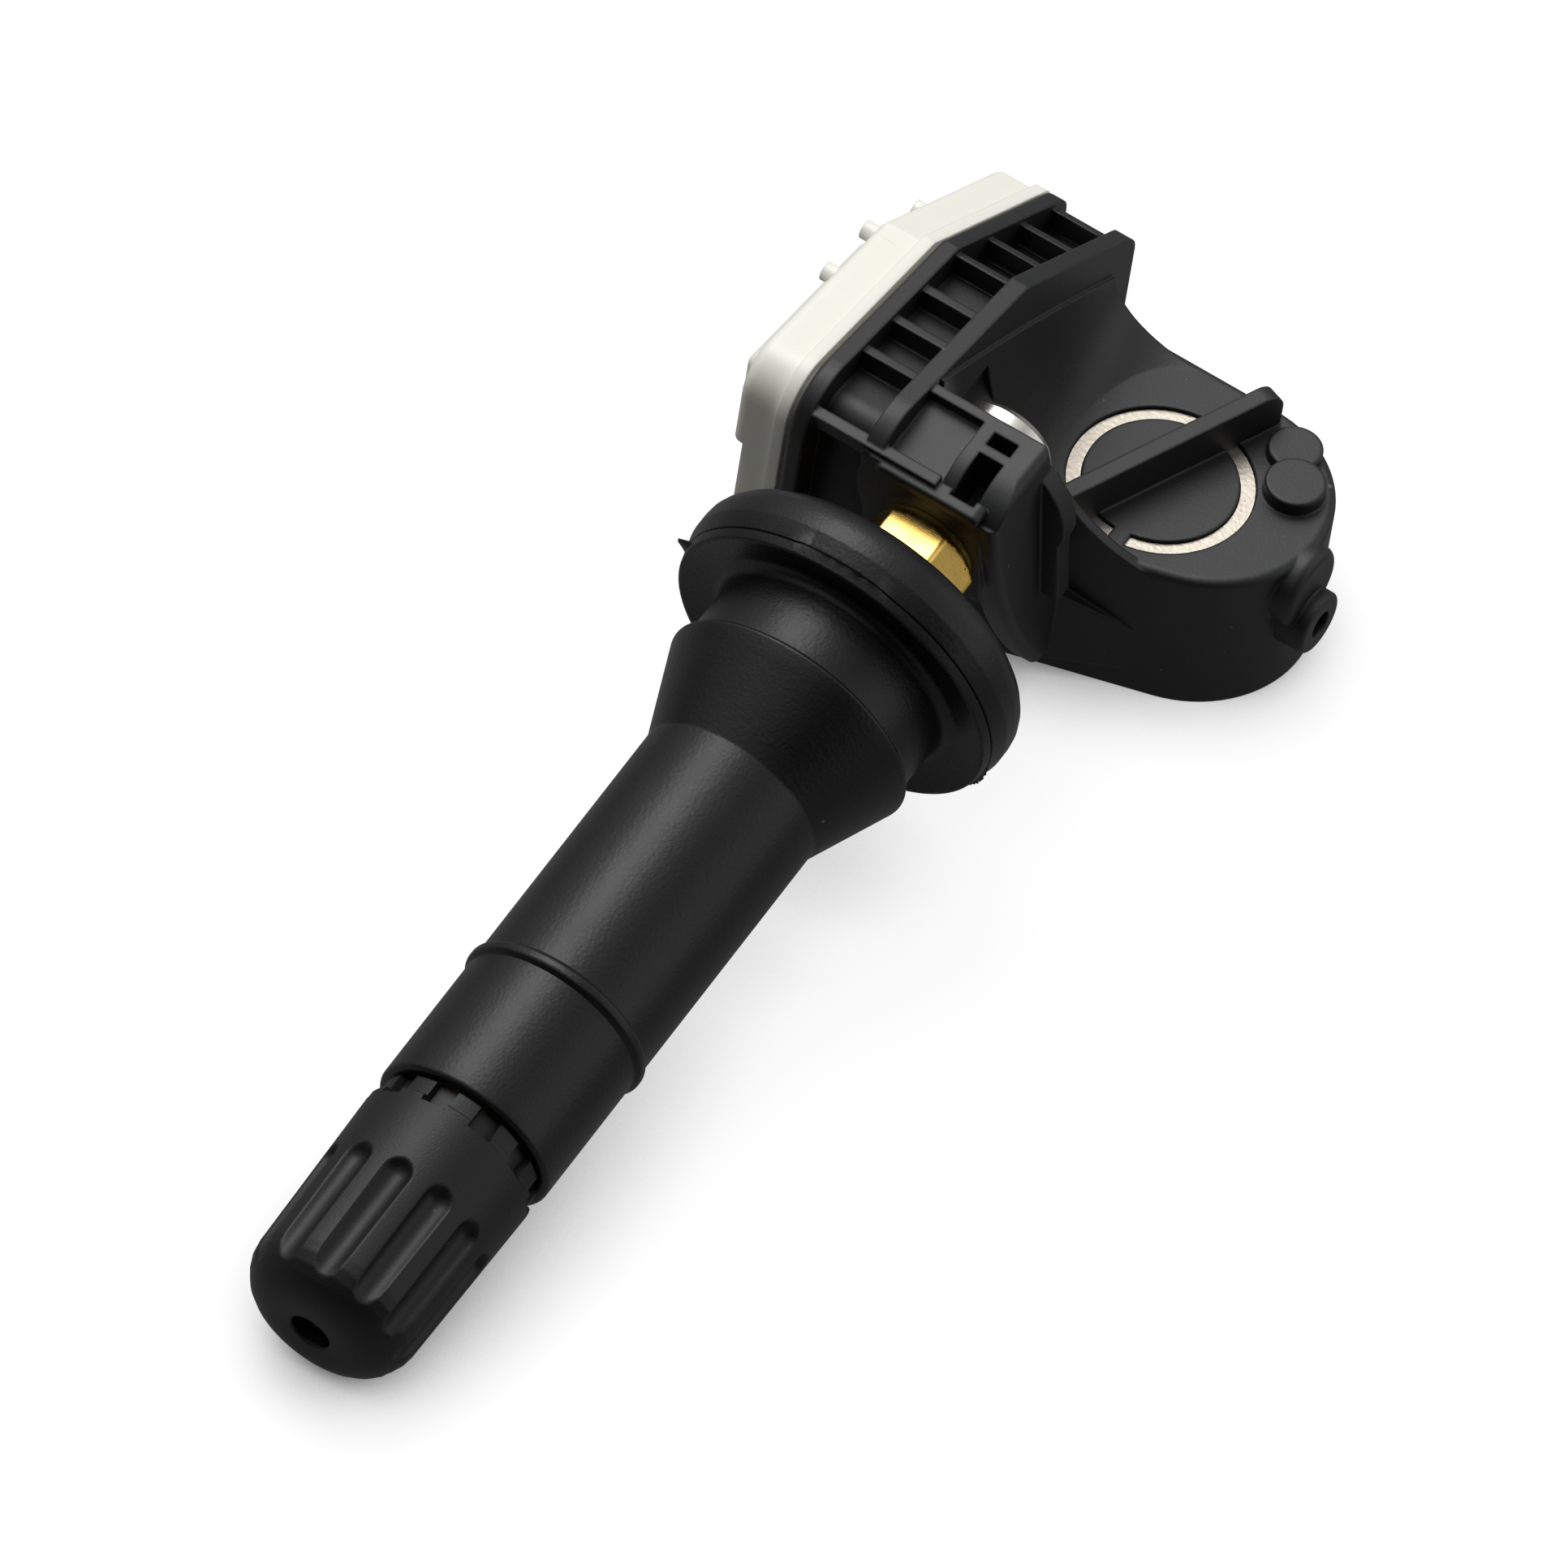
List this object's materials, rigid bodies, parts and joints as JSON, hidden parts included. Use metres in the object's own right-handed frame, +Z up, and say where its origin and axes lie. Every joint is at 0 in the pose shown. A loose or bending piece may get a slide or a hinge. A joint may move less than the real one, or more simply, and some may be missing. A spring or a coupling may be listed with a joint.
{
  "type": "tyre pressure sensor",
  "caption": "Tyre pressure sensor: ribbed black housing with a white lid and a battery hump, held by a screw on the brass stem of a snap-in rubber valve with a screw cap.",
  "frame": {"origin": "on the valve's axis, in the groove that holds the wheel rim", "axes": "+X from the white lid to the battery hump, +Y from the cap to the housing, +Z up from the flat base; the valve's axis rises 11 degrees from +Y"},
  "size_m": [0.0271, 0.0776, 0.0225],
  "materials": {
    "black_rubber": "satin moulded rubber with a grey bloom",
    "brass": "machined brass",
    "cap_plastic": "fine-textured black plastic",
    "stainless": "bright stainless steel",
    "black_nylon": "matte glass-filled black nylon",
    "ivory_plastic": "milky ivory plastic, slightly translucent",
    "nickel_silver": "warm nickel-plated steel",
    "red_gasket": "red sealing plastic",
    "board_green": "green solder mask on glass-fibre board",
    "chip_black": "black chip resin",
    "ferrite": "dull sintered ferrite",
    "copper": "enamelled copper wire",
    "capacitor_tan": "tan fired ceramic with tinned ends",
    "filter_white": "porous white filter"
  },
  "bodies": {
    "sensor": {"valve_rubber": "black_rubber", "valve_stem": "brass", "stem_screw": "stainless", "sensor_housing": "black_nylon", "lid": "ivory_plastic", "battery": "nickel_silver", "valve_core_body": "brass", "valve_core_spring": "stainless", "valve_core_gasket": "red_gasket", "circuit_board": "board_green", "pressure_sensor_chip": "chip_black", "transmitter_chip": "chip_black", "crystal": "nickel_silver", "antenna_coil_core": "ferrite", "antenna_coil_winding": "copper", "capacitors": "capacitor_tan", "battery_tab_positive": "nickel_silver", "battery_tab_negative": "nickel_silver", "port_filter": "filter_white"},
    "cap_thread": {"valve_cap_seal": "black_rubber"},
    "cap": {"valve_cap": "cap_plastic"},
    "core_pin": {"valve_core_pin": "stainless", "valve_core_seal": "black_rubber"}
  },
  "joints": [
    {"name": "cap_travel", "type": "slide", "parent": "sensor", "child": "cap_thread", "axis": [0, -0.9816, -0.1908], "range_m": [0, 0.01032]},
    {"name": "cap_turn", "type": "hinge", "parent": "cap_thread", "child": "cap", "pos_m": [0, 0, 0], "axis": [0, -0.9816, -0.1908], "range_deg": [0, 4685]},
    {"name": "core_pin_press", "type": "slide", "parent": "sensor", "child": "core_pin", "axis": [0, 0.9816, 0.1908], "range_m": [0, 0.0012], "stiffness_N_per_m": 800, "springref_m": -0.001, "deforming": ["valve_core_spring"]}
  ],
  "couplings": [
    {"joint": "cap_turn", "follows": "cap_travel", "rad_per_m": 7913.3}
  ]
}
